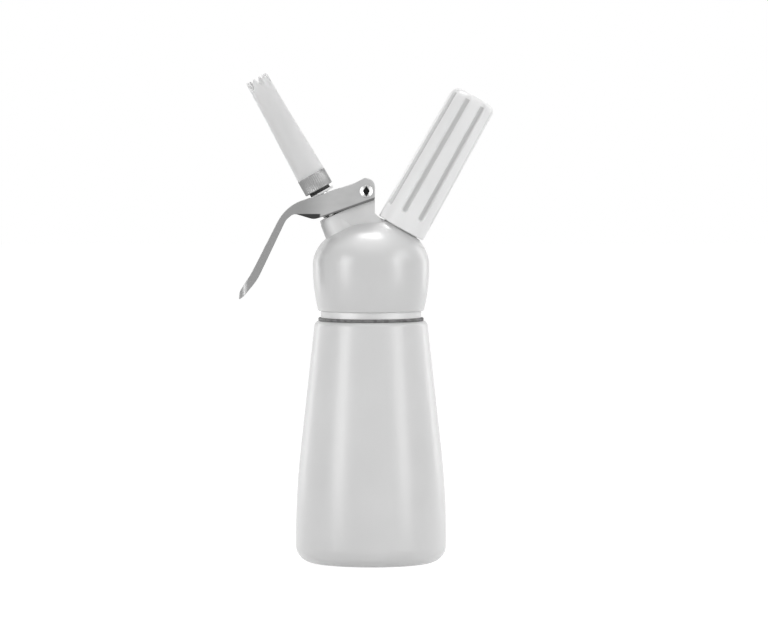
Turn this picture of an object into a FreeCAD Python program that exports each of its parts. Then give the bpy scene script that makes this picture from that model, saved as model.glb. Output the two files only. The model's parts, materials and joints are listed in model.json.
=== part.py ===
import FreeCAD, Part
import math
import os

# Whipped cream dispenser, half litre. Millimetres, +Z up, the bottle stands on z = 0.
# The valve and its nozzle lean towards -X, the gas charger and its holder lean towards +X.

# Bottle
BODY_RADIUS = 43.0
BASE_CORNER = 10.0
SHOULDER_Z = 138.0
SHOULDER_RADIUS = 32.0
SHOULDER_CORNER = 3.0
BEND_Z = 38.5            # height where the upright side would meet the leaning side
BEND_RUN = 26.5          # how far the bend between them reaches each way
BOTTLE_WALL = 1.5
GROOVE_RADIUS = 27.0     # turned groove in the underside
GROOVE_HALF_WIDTH = 1.0
GROOVE_DEPTH = 0.7
NECK_RADIUS = 24.9
NECK_WALL = 2.3
NECK_HEIGHT = 14.0
NECK_CHAMFER = 0.6

# Rings on the bottle
RING_RADIUS = 30.0
RING_HEIGHT = 1.7
GASKET_HEIGHT = 2.0
GASKET_LAP = 0.9         # past the neck's edge, outwards and inwards

# Head
SKIRT_CLEARANCE = 1.4    # neck to skirt bore, where the thread runs
SKIRT_WALL = 2.2
CAVITY_RADIUS = 20.0
CAVITY_HEIGHT = 8.0
COVER_BAND = 3.8         # bright band of core that shows under the cover
COVER_WALL = 2.2
COVER_GAP = 0.5          # core to cover, inside
COVER_SEAT_HEIGHT = 6.5
COVER_LIP = 1.2
DOME_RADIUS = 33.2
DOME_WIDEST_ABOVE_NECK = 17.4
DOME_HEIGHT = 25.2       # above its widest level
DOME_FLANK = 19.0
DOME_LOWER_RADIUS = 112.0

# Both leaning axes: distance s is measured along each from where they cross the bottle's axis
AXIS_TILT = 29.5
AXIS_ABOVE_NECK = 8.5
FIT = 0.05               # close fit between pieces that don't move on each other
RUNNING = 0.08           # radial clearance of what turns or slides
CLEAR = 0.3

# Valve housing
HOUSING_SEAT_S = 29.0
HOUSING_TOP_S = 42.0
CONE_TOP_RADIUS = 8.1
CONE_FLARE = 0.19        # radius gained for each mm down
BLOCK_HALF_WIDTH = 8.0
BLOCK_TOP_SLOPE = 23.4
BLOCK_RIGHT_X = 2.2
BLOCK_FOOT_X = 5.0
BLOCK_FOOT_HEIGHT = 4.4
BLOCK_SEAT_DROP = 3.9
EAR_RADIUS = 4.6
SPIGOT_RADIUS = 6.5
SPIGOT_END_S = 17.5
FLOW_BORE_RADIUS = 5.0
FLOW_BORE_TOP_S = 23.5
NUT_RADIUS = 8.6
NUT_HEIGHT = 3.0
NUT_POCKET_GAP = 0.4
HOUSING_RING_S = 25.0

# Valve stem and what it carries
STEM_RADIUS = 4.0
STEM_BORE = 2.2
STEM_TOP_S = 65.5
STEM_ROD_RADIUS = 2.5
STEM_ROD_TOP_S = 18.3
POPPET_HEIGHT = 2.0
POPPET_RADIUS = 6.2
POPPET_NUT_HEIGHT = 2.7
POPPET_NUT_RADIUS = 4.8
STEM_RING_PLACES = (29.5, 34.5)
STEM_RING_SECTION = 0.5
FLANGE_S = 51.4
FLANGE_RADIUS = 6.5
FLANGE_HEIGHT = 1.3
HUB_RADIUS = 5.2
HUB_HEIGHT = 0.35

# Valve spring
SPRING_WIRE = 1.1
SPRING_RADIUS = 5.35
SPRING_TURNS = 4.5
SPRING_POCKET_RADIUS = 6.4
SPRING_SEAT_DEPTH = 1.0

# Nozzle
WASHER_S = 57.0
WASHER_RADIUS = 7.7
WASHER_HEIGHT = 1.3
NOZZLE_GASKET_RADIUS = 6.2
NOZZLE_GASKET_HEIGHT = 1.7
COLLAR_RADIUS = 8.5
COLLAR_HEIGHT = 9.3
COLLAR_FLOOR = 4.0
COLLAR_EDGE = 0.5
COLLAR_SOCKET_WALL = 1.1
TIP_LENGTH = 63.2
TIP_BASE_RADIUS = 8.45
TIP_WAIST_LENGTH = 45.7
TIP_WAIST_RADIUS = 6.85
TIP_TOP_RADIUS = 6.6
TIP_WALL = 1.3
TEETH = 6
TOOTH_DEPTH = 6.0
TOOTH_GAP = 5.4
TOOTH_GAP_BOTTOM = 1.0
TOOTH_PHASE = 15.0

# Lever: a folded channel whose side outline is given from its pivot
PIVOT_X = -2.6
PIVOT_ABOVE_NECK = 59.8
PIN_RADIUS = 2.5
PIN_BORE = 1.7
PIN_HEAD_RADIUS = 3.7
PIN_HEAD_HEIGHT = 1.0
CHEEK_GAP = 0.5          # block to cheek, each side
CHEEK_THICKNESS = 1.5
WEB_THICKNESS = 1.6
LEVER_STROKE = 7.5       # degrees
PAD_GAP = 0.7            # lever pad to stem hub, at rest
PAD_REACH = 8.9
PAD_HOLE_RADIUS = 4.5
PAD_HOLE_SHIFT = 1.2
HANDLE_END_SOLID = 6.0
HANDLE_CORNER = 6.0

# Gas side
BOSS_RADIUS = 10.6
BOSS_TOP_S = 52.0
BOSS_BORE = 5.1
PLUG_S = 38.0
PLUG_HEIGHT = 5.0
PLUG_SLOT = 1.2
GAS_PASSAGE = 1.5
CHECK_SEAT_S = 21.5
CHECK_POCKET_RADIUS = 5.2
CHECK_DISC_RADIUS = 3.8
CHECK_DISC_HEIGHT = 1.0
CHECK_CAP_HEIGHT = 3.0
SEAL_HEIGHT = 1.3
NEEDLE_RADIUS = 0.9
NEEDLE_BORE = 0.4
NEEDLE_REACH = 2.0       # into the charger's tip

# Charger: the standard 8 g bulb
CHARGER_LENGTH = 65.5
CHARGER_RADIUS = 9.0
CHARGER_NECK_RADIUS = 4.3
CHARGER_NECK_LENGTH = 8.0
CHARGER_SHOULDER = 9.0
CHARGER_WALL = 1.6
CHARGER_HOLE = 1.3

# Charger holder
HOLDER_RIM_S = 34.7
HOLDER_RIM_RADIUS = 14.5
HOLDER_TOP_RADIUS = 13.4
HOLDER_CORNER = 5.0
HOLDER_ROOF = 6.2
HOLDER_PAD_HEIGHT = 4.2
INSERT_RADIUS = 12.0
INSERT_CLEARANCE = 0.4   # boss to insert, where the thread runs
INSERT_S = 35.5
INSERT_PAST_BOSS = 0.7
FLUTES = 8
FLUTE_RADIUS = 2.0
FLUTE_RISE = 0.45        # cutter centre above the surface
FLUTE_START = 8.5        # above the rim
FLUTE_PHASE = -15.0

# Levels and places that follow from the sizes above
NECK_TOP = SHOULDER_Z + NECK_HEIGHT
RING_TOP = SHOULDER_Z + RING_HEIGHT
SKIRT_CEILING = NECK_TOP + GASKET_HEIGHT
CAVITY_TOP = SKIRT_CEILING + CAVITY_HEIGHT
SKIRT_BORE = NECK_RADIUS + SKIRT_CLEARANCE
SKIRT_RADIUS = SKIRT_BORE + SKIRT_WALL
COVER_BOTTOM = RING_TOP + COVER_BAND
DOME_Z = NECK_TOP + DOME_WIDEST_ABOVE_NECK
CROSS_Z = NECK_TOP + AXIS_ABOVE_NECK
PIVOT_Z = NECK_TOP + PIVOT_ABOVE_NECK
HOUSING_BORE = STEM_RADIUS + RUNNING
SPRING_SEAT_S = HOUSING_TOP_S - SPRING_SEAT_DEPTH
GASKET_S = WASHER_S + WASHER_HEIGHT
COLLAR_S = GASKET_S + NOZZLE_GASKET_HEIGHT
TIP_S = COLLAR_S + COLLAR_HEIGHT
CHEEK_INNER = BLOCK_HALF_WIDTH + CHEEK_GAP
CHEEK_OUTER = CHEEK_INNER + CHEEK_THICKNESS
PLUG_TOP_S = PLUG_S + PLUG_HEIGHT
CHARGER_S = PLUG_TOP_S + SEAL_HEIGHT + FIT
CHARGER_END_S = CHARGER_S + CHARGER_LENGTH
INSERT_TOP_S = BOSS_TOP_S + INSERT_PAST_BOSS
HOLDER_CEILING_S = CHARGER_END_S + CLEAR + HOLDER_PAD_HEIGHT
HOLDER_TOP_S = HOLDER_CEILING_S + HOLDER_ROOF
HOLDER_BORE = CHARGER_RADIUS + CLEAR

UP = FreeCAD.Vector(0, 0, 1)
ORIGIN = FreeCAD.Vector(0, 0, 0)
LEAN = math.radians(AXIS_TILT)


def point(x, z):
    return FreeCAD.Vector(x, 0, z)


def round_corner(before, here, after, radius):
    """Start, middle and end of the arc that rounds a corner."""
    back = (before - here).normalize()
    ahead = (after - here).normalize()
    half = back.getAngle(ahead) / 2
    reach = radius / math.tan(half)
    inward = (back + ahead).normalize()
    middle = here + inward * (radius / math.sin(half) - radius)
    return here + back * reach, middle, here + ahead * reach


def outline_face(corners):
    """Face in the XZ plane through (x, z) corners; a third number is that corner's radius."""
    places = [point(corner[0], corner[1]) for corner in corners]
    stations = []
    for index, corner in enumerate(corners):
        here = places[index]
        if len(corner) == 3:
            before = places[index - 1]
            after = places[(index + 1) % len(places)]
            stations.append(round_corner(before, here, after, corner[2]))
        else:
            stations.append((here,))
    edges = []
    for index, station in enumerate(stations):
        if len(station) == 3:
            edges.append(Part.Arc(*station).toShape())
        start = station[-1]
        end = stations[(index + 1) % len(stations)][0]
        if start.distanceToPoint(end) > 1e-6:
            edges.append(Part.LineSegment(start, end).toShape())
    return Part.Face(Part.Wire(edges))


def turned(corners):
    """Solid of revolution about Z from (radius, height) corners."""
    return outline_face(corners).revolve(ORIGIN, UP, 360)


def ring(inner, outer, low, high):
    return turned([(inner, low), (outer, low), (outer, high), (inner, high)])


def rod(radius, low, high):
    return Part.makeCylinder(radius, high - low, point(0, low), UP)


def slab(corners, half_width):
    """Plate with a side outline in the XZ plane, centred on it."""
    face = outline_face(corners)
    face.translate(FreeCAD.Vector(0, -half_width, 0))
    return face.extrude(FreeCAD.Vector(0, 2 * half_width, 0))


def leaned(shape, side):
    """Move a piece made about Z, with s as its height, onto an axis: side -1 valve, 1 gas."""
    shape.rotate(ORIGIN, FreeCAD.Vector(0, 1, 0), side * AXIS_TILT)
    shape.translate(point(0, CROSS_Z))
    return shape


def on_valve(shape):
    return leaned(shape, -1)


def on_gas(shape):
    return leaned(shape, 1)


def valve_point(s, across=0.0):
    """Place in the XZ plane at s along the valve axis and a distance across it, to the right."""
    x = -s * math.sin(LEAN) + across * math.cos(LEAN)
    z = CROSS_Z + s * math.cos(LEAN) + across * math.sin(LEAN)
    return x, z


def bottle_half(inset):
    """Corners of the bottle's side from the base to the shoulder, moved in by a wall."""
    lean = math.atan((BODY_RADIUS - SHOULDER_RADIUS) / (SHOULDER_Z - BEND_Z))
    bend_radius = BEND_RUN / math.tan(lean / 2)
    shoulder_shift = inset * (math.tan(lean) - 1 / math.cos(lean))
    return [
        (BODY_RADIUS - inset, inset, BASE_CORNER - inset),
        (BODY_RADIUS - inset, BEND_Z - inset * math.tan(lean / 2), bend_radius - inset),
        (SHOULDER_RADIUS + shoulder_shift, SHOULDER_Z - inset, SHOULDER_CORNER - inset),
    ]


def bottle():
    neck_bore = NECK_RADIUS - NECK_WALL
    outside = [
        (0, 0),
        (GROOVE_RADIUS - GROOVE_HALF_WIDTH, 0),
        (GROOVE_RADIUS, GROOVE_DEPTH),
        (GROOVE_RADIUS + GROOVE_HALF_WIDTH, 0),
        *bottle_half(0),
        (NECK_RADIUS, SHOULDER_Z),
        (NECK_RADIUS, NECK_TOP - NECK_CHAMFER),
        (NECK_RADIUS - NECK_CHAMFER, NECK_TOP),
    ]
    inside = [
        (neck_bore, NECK_TOP),
        (neck_bore, SHOULDER_Z - BOTTLE_WALL),
        *reversed(bottle_half(BOTTLE_WALL)),
        (0, BOTTLE_WALL),
    ]
    return turned(outside + inside)


def shoulder_ring():
    bulge = RING_HEIGHT / 4
    inner = NECK_RADIUS + CLEAR
    return turned([
        (inner, SHOULDER_Z),
        (RING_RADIUS, SHOULDER_Z, bulge),
        (RING_RADIUS, RING_TOP, bulge),
        (inner, RING_TOP),
    ])


def head_gasket():
    inner = NECK_RADIUS - NECK_WALL - GASKET_LAP
    return ring(inner, NECK_RADIUS + GASKET_LAP, NECK_TOP, SKIRT_CEILING)


def dome_radii():
    """Crown radius that meets the flank arc smoothly at the dome's full height."""
    across = DOME_RADIUS - DOME_FLANK
    rise = DOME_HEIGHT
    crown = (across ** 2 + rise ** 2 - DOME_FLANK ** 2) / (2 * (rise - DOME_FLANK))
    crown_z = DOME_Z + rise - crown
    meet = math.atan2(DOME_Z - crown_z, across)
    return crown, crown_z, meet


def arc_about(x, z, radius, start, end):
    """Arc in the XZ plane between two angles, in radians from +X."""
    angles = (start, (start + end) / 2, end)
    spots = [point(x + radius * math.cos(a), z + radius * math.sin(a)) for a in angles]
    return Part.Arc(*spots).toShape()


def closed_turn(edges, extra):
    """Revolve a chain of edges closed by straight runs through the extra points."""
    places = [edges[-1].Vertexes[-1].Point, *[point(*spot) for spot in extra], edges[0].Vertexes[0].Point]
    runs = [Part.LineSegment(a, b).toShape() for a, b in zip(places, places[1:])]
    face = Part.Face(Part.Wire(edges + runs))
    return face.revolve(ORIGIN, UP, 360)


def upper_dome(inset, start=0.0):
    """Flank and crown arcs of the dome, moved in, from an angle on the flank to the axis."""
    crown, crown_z, meet = dome_radii()
    flank = arc_about(DOME_RADIUS - DOME_FLANK, DOME_Z, DOME_FLANK - inset, start, meet)
    return [flank, arc_about(0, crown_z, crown - inset, meet, math.pi / 2)]


def lower_dome(inset, low):
    """Long arc from a low level up to the dome's widest level, moved in."""
    radius = DOME_LOWER_RADIUS - inset
    start = -math.asin((DOME_Z - low) / radius)
    return arc_about(DOME_RADIUS - DOME_LOWER_RADIUS, DOME_Z, radius, start, 0)


def housing_sides(grow):
    """Solid outline of the housing above its seat: a half cone and a flat sided block."""
    seat_radius = CONE_TOP_RADIUS + CONE_FLARE * (HOUSING_TOP_S - HOUSING_SEAT_S) + grow
    high_s = HOUSING_TOP_S + NUT_RADIUS
    high_radius = seat_radius - CONE_FLARE * (high_s - HOUSING_SEAT_S)
    cone = on_valve(turned([(0, HOUSING_SEAT_S), (seat_radius, HOUSING_SEAT_S), (high_radius, high_s), (0, high_s)]))
    seat_x, seat_z = valve_point(HOUSING_SEAT_S)
    dome_top = DOME_Z + DOME_HEIGHT
    foot = BLOCK_FOOT_X + grow
    block = slab([
        (seat_x, seat_z),
        (foot, dome_top - COVER_WALL - COVER_GAP - BLOCK_SEAT_DROP),
        (foot, dome_top - 0.8),
        (BLOCK_RIGHT_X + grow, dome_top + BLOCK_FOOT_HEIGHT),
        (BLOCK_RIGHT_X + grow, PIVOT_Z),
        valve_point(high_s),
    ], BLOCK_HALF_WIDTH + grow)
    return cone.fuse(block)


def under_top_plane(shape):
    """Trim the housing by its sloping top, which passes over the valve axis at the housing's top."""
    x, z = valve_point(HOUSING_TOP_S)
    slope = math.tan(math.radians(BLOCK_TOP_SLOPE))
    far = 60.0
    above = slab([
        (x - far, z - far * slope),
        (x + far, z + far * slope),
        (x + far, z + 2 * far),
        (x - far, z + 2 * far),
    ], far)
    return shape.cut(above)


def ear():
    """Block between the lever's cheeks, rounded about the pivot."""
    low_z = valve_point(HOUSING_TOP_S)[1]
    left = PIVOT_X - EAR_RADIUS
    right = PIVOT_X + EAR_RADIUS
    top = PIVOT_Z + EAR_RADIUS
    return slab([
        (left - 2.5, low_z),
        (right, low_z),
        (right, top, EAR_RADIUS - 0.01),
        (left, top, EAR_RADIUS - 0.01),
        (left, PIVOT_Z - 5),
    ], BLOCK_HALF_WIDTH)


def valve_housing():
    body = under_top_plane(housing_sides(0)).fuse(ear())
    body = body.fuse(on_valve(rod(SPIGOT_RADIUS, SPIGOT_END_S, HOUSING_SEAT_S + 2)))
    high = HOUSING_TOP_S + NUT_RADIUS
    section = SPIGOT_RADIUS - 0.9
    cuts = [
        on_valve(rod(HOUSING_BORE, SPIGOT_END_S - 1, high)),
        on_valve(rod(FLOW_BORE_RADIUS, SPIGOT_END_S - 1, FLOW_BORE_TOP_S)),
        on_valve(rod(SPRING_POCKET_RADIUS, SPRING_SEAT_S, high)),
        on_valve(ring(section, SPIGOT_RADIUS + 1, HOUSING_RING_S - 0.5, HOUSING_RING_S + 0.5)),
        pivot_rod(PIN_RADIUS + FIT, 2 * CHEEK_OUTER),
    ]
    for cut in cuts:
        body = body.cut(cut)
    return body.removeSplitter()


def pivot_rod(radius, length):
    start = FreeCAD.Vector(PIVOT_X, -length / 2, PIVOT_Z)
    return Part.makeCylinder(radius, length, start, FreeCAD.Vector(0, 1, 0))


def head_core():
    inset = COVER_WALL + COVER_GAP
    start = math.acos((SKIRT_RADIUS - DOME_RADIUS + DOME_FLANK) / (DOME_FLANK - inset))
    body = closed_turn(upper_dome(inset, start), [(0, CAVITY_TOP - 10), (SKIRT_RADIUS, CAVITY_TOP - 10)])
    body = body.fuse(rod(SKIRT_RADIUS, RING_TOP + FIT, CAVITY_TOP))
    body = body.fuse(on_gas(rod(BOSS_RADIUS, CHECK_SEAT_S, BOSS_TOP_S)))
    nut_pocket = NUT_RADIUS + NUT_POCKET_GAP
    nut_top = SPIGOT_END_S + FIT + NUT_HEIGHT + 0.5
    cuts = [
        rod(SKIRT_BORE, 0, SKIRT_CEILING),
        rod(CAVITY_RADIUS, 0, CAVITY_TOP),
        on_valve(rod(nut_pocket, -4, nut_top)),
        on_valve(rod(SPIGOT_RADIUS + FIT, 0, HOUSING_TOP_S)),
        housing_sides(0),
        on_gas(rod(CHECK_POCKET_RADIUS, -4, CHECK_SEAT_S)),
        on_gas(rod(GAS_PASSAGE, 0, PLUG_TOP_S)),
        on_gas(rod(BOSS_BORE, PLUG_S, BOSS_TOP_S + 1)),
    ]
    for cut in cuts:
        body = body.cut(cut)
    return body


def head_cover():
    lip = lower_dome(0, COVER_BOTTOM + COVER_LIP)
    seat_top = COVER_BOTTOM + COVER_SEAT_HEIGHT
    bore = SKIRT_RADIUS + FIT
    low_edge = lip.Vertexes[0].Point.x
    outside = closed_turn([lip, *upper_dome(0)], [
        (0, COVER_BOTTOM),
        (low_edge - COVER_LIP, COVER_BOTTOM),
    ])
    inside = closed_turn([lower_dome(COVER_WALL, seat_top), *upper_dome(COVER_WALL)], [(0, seat_top)])
    body = outside.cut(inside).cut(rod(bore, 0, seat_top + 1))
    body = body.cut(housing_sides(FIT * 3))
    return body.cut(on_gas(rod(BOSS_RADIUS + CLEAR, 0, BOSS_TOP_S)))


def housing_nut():
    low = SPIGOT_END_S + 0.5
    hexagon = Part.Face(Part.makePolygon([
        FreeCAD.Vector(NUT_RADIUS * math.cos(a), NUT_RADIUS * math.sin(a), low)
        for a in [math.radians(60 * step) for step in range(7)]
    ]))
    body = hexagon.extrude(UP * NUT_HEIGHT)
    return on_valve(body.cut(rod(SPIGOT_RADIUS + FIT, low - 1, low + NUT_HEIGHT + 1)))


def torus(radius, section, s):
    return Part.makeTorus(radius, section, point(0, s), UP)


def housing_oring():
    inner = SPIGOT_RADIUS - 0.9 + 0.02
    outer = SPIGOT_RADIUS + FIT - 0.02
    return on_valve(torus((inner + outer) / 2, (outer - inner) / 2, HOUSING_RING_S))


def stem_orings():
    radius = HOUSING_BORE - FIT - STEM_RING_SECTION
    rings = [on_valve(torus(radius, STEM_RING_SECTION, s)) for s in STEM_RING_PLACES]
    return Part.makeCompound(rings)


def valve_stem():
    low = SPIGOT_END_S - FIT - POPPET_HEIGHT - POPPET_NUT_HEIGHT - 0.8
    flow_floor = STEM_ROD_TOP_S + 1.2
    body = rod(STEM_RADIUS, STEM_ROD_TOP_S, STEM_TOP_S).fuse(rod(STEM_ROD_RADIUS, low, STEM_ROD_TOP_S))
    body = body.cut(rod(STEM_BORE, flow_floor, STEM_TOP_S + 1))
    hole = Part.makeCylinder(1.3, 20, FreeCAD.Vector(-10, 0, flow_floor + 1.5), FreeCAD.Vector(1, 0, 0))
    body = body.cut(hole)
    hole.rotate(ORIGIN, UP, 90)
    body = body.cut(hole)
    groove_half = STEM_RING_SECTION + 0.1
    for s in STEM_RING_PLACES:
        body = body.cut(ring(STEM_RADIUS - 1.0, STEM_RADIUS + 1, s - groove_half, s + groove_half))
    return on_valve(body)


def stem_flange():
    bore = STEM_RADIUS + FIT
    top = FLANGE_S + FLANGE_HEIGHT
    return on_valve(turned([
        (bore, FLANGE_S),
        (FLANGE_RADIUS, FLANGE_S, 0.3),
        (FLANGE_RADIUS, top, 0.3),
        (HUB_RADIUS, top),
        (HUB_RADIUS - 0.2, top + HUB_HEIGHT),
        (bore, top + HUB_HEIGHT),
    ]))


def poppet_seal():
    top = SPIGOT_END_S - FIT
    return on_valve(ring(STEM_ROD_RADIUS + FIT, POPPET_RADIUS, top - POPPET_HEIGHT, top))


def poppet_nut():
    top = SPIGOT_END_S - FIT - POPPET_HEIGHT
    return on_valve(ring(STEM_ROD_RADIUS + FIT, POPPET_NUT_RADIUS, top - POPPET_NUT_HEIGHT, top))


def helix_spot(radius, turn, low, pitch):
    angle = 2 * math.pi * turn
    return FreeCAD.Vector(radius * math.cos(angle), radius * math.sin(angle), low + pitch * turn)


def helix_heading(radius, turn, pitch):
    angle = 2 * math.pi * turn
    return FreeCAD.Vector(-math.sin(angle), math.cos(angle), pitch / (2 * math.pi * radius)).normalize()


def tangent_arc(start, corner, end):
    """Arc from start to end whose tangents meet at the corner."""
    weight = math.cos((corner - start).getAngle(end - corner) / 2)
    middle = (start + corner * (2 * weight) + end) * (1 / (2 + 2 * weight))
    return Part.Arc(start, middle, end).toShape()


def biarc(start, out, end, into):
    """Two arcs with a common tangent, from start heading out, to end heading into it."""
    span = end - start
    both = out + into
    bend = 2 * (1 - out.dot(into))
    along = span.dot(both)
    reach = (math.sqrt(along ** 2 + bend * span.dot(span)) - along) / bend
    first = start + out * reach
    second = end - into * reach
    joint = (first + second) * 0.5
    return [tangent_arc(start, first, joint), tangent_arc(joint, second, end)]


def valve_spring():
    wire_radius = SPRING_WIRE / 2
    low = SPRING_SEAT_S + FIT + wire_radius
    high = FLANGE_S - FIT - wire_radius
    pitch = (high - low) / SPRING_TURNS
    steps = int(SPRING_TURNS * 4)
    edges = []
    for step in range(steps):
        turn = step / 4
        edges += biarc(
            helix_spot(SPRING_RADIUS, turn, low, pitch),
            helix_heading(SPRING_RADIUS, turn, pitch),
            helix_spot(SPRING_RADIUS, turn + 0.25, low, pitch),
            helix_heading(SPRING_RADIUS, turn + 0.25, pitch))
    start = helix_spot(SPRING_RADIUS, 0, low, pitch)
    circle = Part.Circle(start, helix_heading(SPRING_RADIUS, 0, pitch), wire_radius)
    path = Part.Wire(edges)
    body = path.makePipeShell([Part.Wire([circle.toShape()])], True, False)
    spots = path.discretize(400)
    per_turn = len(spots) / SPRING_TURNS
    gaps = [a.distanceToPoint(b) for i, a in enumerate(spots) for b in spots[i + int(per_turn / 2):]]
    print("spring: least gap to itself %.2f mm" % (min(gaps) - SPRING_WIRE))
    return on_valve(body)


def nozzle_seat_washer():
    return on_valve(turned([
        (STEM_RADIUS + FIT, WASHER_S),
        (WASHER_RADIUS, WASHER_S, 0.3),
        (WASHER_RADIUS, GASKET_S, 0.3),
        (STEM_RADIUS + FIT, GASKET_S),
    ]))


def nozzle_gasket():
    return on_valve(ring(STEM_RADIUS + FIT, NOZZLE_GASKET_RADIUS, GASKET_S, COLLAR_S))


def nozzle_collar():
    socket = COLLAR_RADIUS - COLLAR_SOCKET_WALL
    floor = COLLAR_S + COLLAR_FLOOR
    return on_valve(turned([
        (STEM_RADIUS + FIT, COLLAR_S),
        (COLLAR_RADIUS, COLLAR_S, COLLAR_EDGE),
        (COLLAR_RADIUS, TIP_S, COLLAR_EDGE / 2),
        (socket, TIP_S),
        (socket, floor),
        (STEM_RADIUS + FIT, floor),
    ]))


def nozzle_tip():
    base = COLLAR_RADIUS - COLLAR_SOCKET_WALL - FIT
    low = COLLAR_S + COLLAR_FLOOR
    waist = TIP_S + TIP_WAIST_LENGTH
    top = TIP_S + TIP_LENGTH
    body = turned([
        (base - TIP_WALL, low),
        (base, low),
        (base, TIP_S),
        (TIP_BASE_RADIUS, TIP_S),
        (TIP_WAIST_RADIUS, waist),
        (TIP_TOP_RADIUS, top),
        (TIP_TOP_RADIUS - TIP_WALL, top),
        (TIP_WAIST_RADIUS - TIP_WALL, waist),
        (TIP_BASE_RADIUS - TIP_WALL - 1.0, TIP_S + 2),
        (base - TIP_WALL, TIP_S),
    ])
    half_top = TOOTH_GAP / 2
    half_low = TOOTH_GAP_BOTTOM / 2
    notch_face = outline_face([
        (-half_top * 1.17, top + 1),
        (-half_low, top - TOOTH_DEPTH, half_low * 0.9),
        (half_low, top - TOOTH_DEPTH, half_low * 0.9),
        (half_top * 1.17, top + 1),
    ])
    notch = notch_face.extrude(FreeCAD.Vector(0, -2 * TIP_TOP_RADIUS, 0))
    for number in range(TEETH):
        cut = notch.copy()
        cut.rotate(ORIGIN, UP, TOOTH_PHASE + 360 / TEETH * number)
        body = body.cut(cut)
    return on_valve(body)


def lever_outline():
    """Side view of the lever, from the pivot's top round the handle and back under the cheek."""
    top = PIVOT_Z + 7.5
    return [
        (PIVOT_X - 0.8, top, 0.6),
        (PIVOT_X - 7.0, PIVOT_Z + 4.3, 14.0),
        (PIVOT_X - 46.0, PIVOT_Z - 8.6, 24.0),
        (PIVOT_X - 65.2, PIVOT_Z - 46.3, 60.0),
        (PIVOT_X - 72.0, PIVOT_Z - 57.0, 5.0),
        (PIVOT_X - 72.6, PIVOT_Z - 61.9, 0.4),
        (PIVOT_X - 69.6, PIVOT_Z - 59.6, 3.0),
        (PIVOT_X - 62.4, PIVOT_Z - 51.0, 30.0),
        (PIVOT_X - 46.0, PIVOT_Z - 16.6, 12.0),
        (PIVOT_X - 41.2, PIVOT_Z - 12.6, 4.0),
        (PIVOT_X - 29.6, PIVOT_Z - 16.1, 7.0),
        (PIVOT_X - 15.0, PIVOT_Z - 10.4, 24.0),
        (PIVOT_X + 4.8, PIVOT_Z - 3.7, 1.5),
        (PIVOT_X + 4.9, PIVOT_Z + 5.9, 5.0),
    ]


def pad_point(across, lift=0.0):
    """Place on the lever's pad, which leans half the stroke so that it is square at mid stroke."""
    hub_top = FLANGE_S + FLANGE_HEIGHT + HUB_HEIGHT
    lean = math.tan(math.radians(LEVER_STROKE / 2))
    return valve_point(hub_top + PAD_GAP + lift - across * lean, across)


def lever():
    body = slab(lever_outline(), CHEEK_OUTER)
    plan = Part.Wire(Part.makePolygon([
        FreeCAD.Vector(x, y, 0) for x, y in [
            (PIVOT_X - 72.7, -CHEEK_OUTER), (PIVOT_X + 10, -CHEEK_OUTER),
            (PIVOT_X + 10, CHEEK_OUTER), (PIVOT_X - 72.7, CHEEK_OUTER), (PIVOT_X - 72.7, -CHEEK_OUTER)]
    ]))
    outline = Part.Face(plan).extrude(UP * (2 * PIVOT_Z))
    corners = [edge for edge in outline.Edges
               if abs(edge.Vertexes[0].X - PIVOT_X + 72.7) < 0.1 and edge.Length > PIVOT_Z]
    body = body.common(outline.makeFillet(HANDLE_CORNER, corners))
    channel = slab([
        (PIVOT_X + 20, PIVOT_Z - 60),
        (PIVOT_X + 20, PIVOT_Z + 7.5 - WEB_THICKNESS),
        (PIVOT_X - 0.8, PIVOT_Z + 7.5 - WEB_THICKNESS),
        (PIVOT_X - 6.6, PIVOT_Z + 4.3 - WEB_THICKNESS),
        pad_point(PAD_REACH),
        pad_point(-PAD_REACH - WEB_THICKNESS),
        (PIVOT_X - 35.2, PIVOT_Z - 5.1 - WEB_THICKNESS),
        (PIVOT_X - 44.6, PIVOT_Z - 9.3 - WEB_THICKNESS, 18.0),
        (PIVOT_X - 63.6, PIVOT_Z - 47.0, 50.0),
        (PIVOT_X - 72.0 + HANDLE_END_SOLID, PIVOT_Z - 52.5),
        (PIVOT_X - 58.0, PIVOT_Z - 60),
    ], CHEEK_INNER)
    body = body.cut(channel)
    pocket = slab([
        pad_point(-PAD_REACH, WEB_THICKNESS),
        pad_point(PAD_REACH + 4, WEB_THICKNESS),
        pad_point(PAD_REACH + 4, 20),
        pad_point(-PAD_REACH, 20),
    ], CHEEK_INNER)
    body = body.cut(pocket)
    hole = rod(PAD_HOLE_RADIUS, FLANGE_S, GASKET_S)
    moved = hole.copy()
    moved.translate(FreeCAD.Vector(PAD_HOLE_SHIFT, 0, 0))
    body = body.cut(on_valve(hole)).cut(on_valve(moved))
    return body.cut(pivot_rod(PIN_RADIUS + RUNNING, 4 * CHEEK_OUTER))


def lever_pin():
    head_inner = CHEEK_OUTER + FIT
    body = pivot_rod(PIN_RADIUS, 2 * head_inner)
    for side in (-1, 1):
        head = pivot_rod(PIN_HEAD_RADIUS, PIN_HEAD_HEIGHT)
        head.translate(FreeCAD.Vector(0, side * (head_inner + PIN_HEAD_HEIGHT / 2), 0))
        body = body.fuse(head)
    return body.cut(pivot_rod(PIN_BORE, 4 * CHEEK_OUTER)).removeSplitter()


def piercer_plug():
    body = ring(NEEDLE_RADIUS + FIT, BOSS_BORE - FIT, PLUG_S, PLUG_TOP_S)
    slot = Part.makeBox(4 * BOSS_BORE, 1.0, PLUG_SLOT, FreeCAD.Vector(-2 * BOSS_BORE, -0.5, PLUG_TOP_S - PLUG_SLOT))
    return on_gas(body.cut(slot))


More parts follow.
